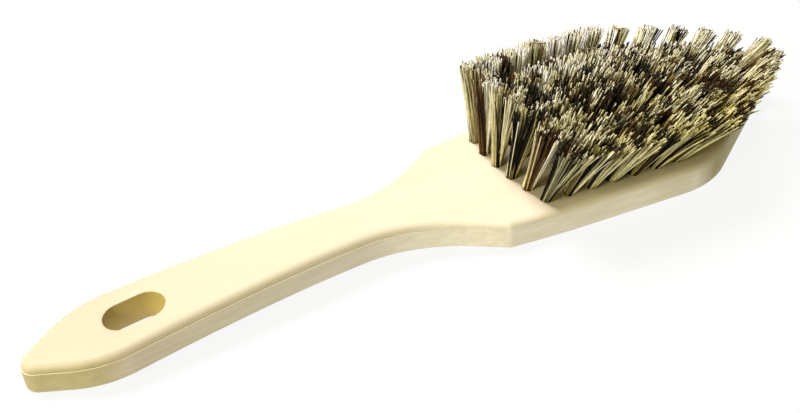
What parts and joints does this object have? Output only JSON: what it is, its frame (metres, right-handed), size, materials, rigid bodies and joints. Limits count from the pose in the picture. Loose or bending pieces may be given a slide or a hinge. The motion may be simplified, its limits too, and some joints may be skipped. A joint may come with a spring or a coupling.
{
  "type": "corner brush",
  "caption": "hand brush with a one-piece wooden block, a bowed waisted handle with a hanging slot and a pointed head whose fibre tufts fan out to sweep corners",
  "frame": {"origin": "on the flat back of the head, on the middle line, 78 mm ahead of the line of the two shoulder corners", "axes": "+X runs from the handle to the point of the head, +Y to the left seen from the bristle side with the point ahead, +Z is the bristle side; the part is symmetric about the plane Y = 0"},
  "size_m": [0.3468, 0.1011, 0.0502],
  "materials": {
    "wood": "raw pale wood, sanded smooth, no lacquer",
    "fibre": "mixed straw, tan, brown and black natural fibres, dull"
  },
  "bodies": {
    "root": {"brush_block": "wood", "inner_front_left_tuft_1": "fibre", "inner_front_right_tuft_1": "fibre", "inner_heel_tuft_1": "fibre", "inner_heel_tuft_2": "fibre", "inner_left_tuft_1": "fibre", "inner_left_tuft_2": "fibre", "inner_left_tuft_3": "fibre", "inner_point_tuft": "fibre", "inner_right_tuft_1": "fibre", "inner_right_tuft_2": "fibre", "inner_right_tuft_3": "fibre", "middle_front_left_tuft_1": "fibre", "middle_front_left_tuft_2": "fibre", "middle_front_left_tuft_3": "fibre", "middle_front_right_tuft_1": "fibre", "middle_front_right_tuft_2": "fibre", "middle_front_right_tuft_3": "fibre", "middle_heel_tuft_1": "fibre", "middle_heel_tuft_2": "fibre", "middle_heel_tuft_3": "fibre", "middle_heel_tuft_4": "fibre", "middle_left_tuft_1": "fibre", "middle_left_tuft_2": "fibre", "middle_left_tuft_3": "fibre", "middle_left_tuft_4": "fibre", "middle_point_tuft": "fibre", "middle_right_tuft_1": "fibre", "middle_right_tuft_2": "fibre", "middle_right_tuft_3": "fibre", "middle_right_tuft_4": "fibre", "outer_front_left_tuft_1": "fibre", "outer_front_left_tuft_2": "fibre", "outer_front_left_tuft_3": "fibre", "outer_front_left_tuft_4": "fibre", "outer_front_left_tuft_5": "fibre", "outer_front_right_tuft_1": "fibre", "outer_front_right_tuft_2": "fibre", "outer_front_right_tuft_3": "fibre", "outer_front_right_tuft_4": "fibre", "outer_front_right_tuft_5": "fibre", "outer_heel_tuft_1": "fibre", "outer_heel_tuft_2": "fibre", "outer_heel_tuft_3": "fibre", "outer_heel_tuft_4": "fibre", "outer_heel_tuft_5": "fibre", "outer_heel_tuft_6": "fibre", "outer_left_tuft_1": "fibre", "outer_left_tuft_2": "fibre", "outer_left_tuft_3": "fibre", "outer_left_tuft_4": "fibre", "outer_left_tuft_5": "fibre", "outer_left_tuft_6": "fibre", "outer_point_tuft": "fibre", "outer_right_tuft_1": "fibre", "outer_right_tuft_2": "fibre", "outer_right_tuft_3": "fibre", "outer_right_tuft_4": "fibre", "outer_right_tuft_5": "fibre", "outer_right_tuft_6": "fibre"}
  },
  "joints": []
}
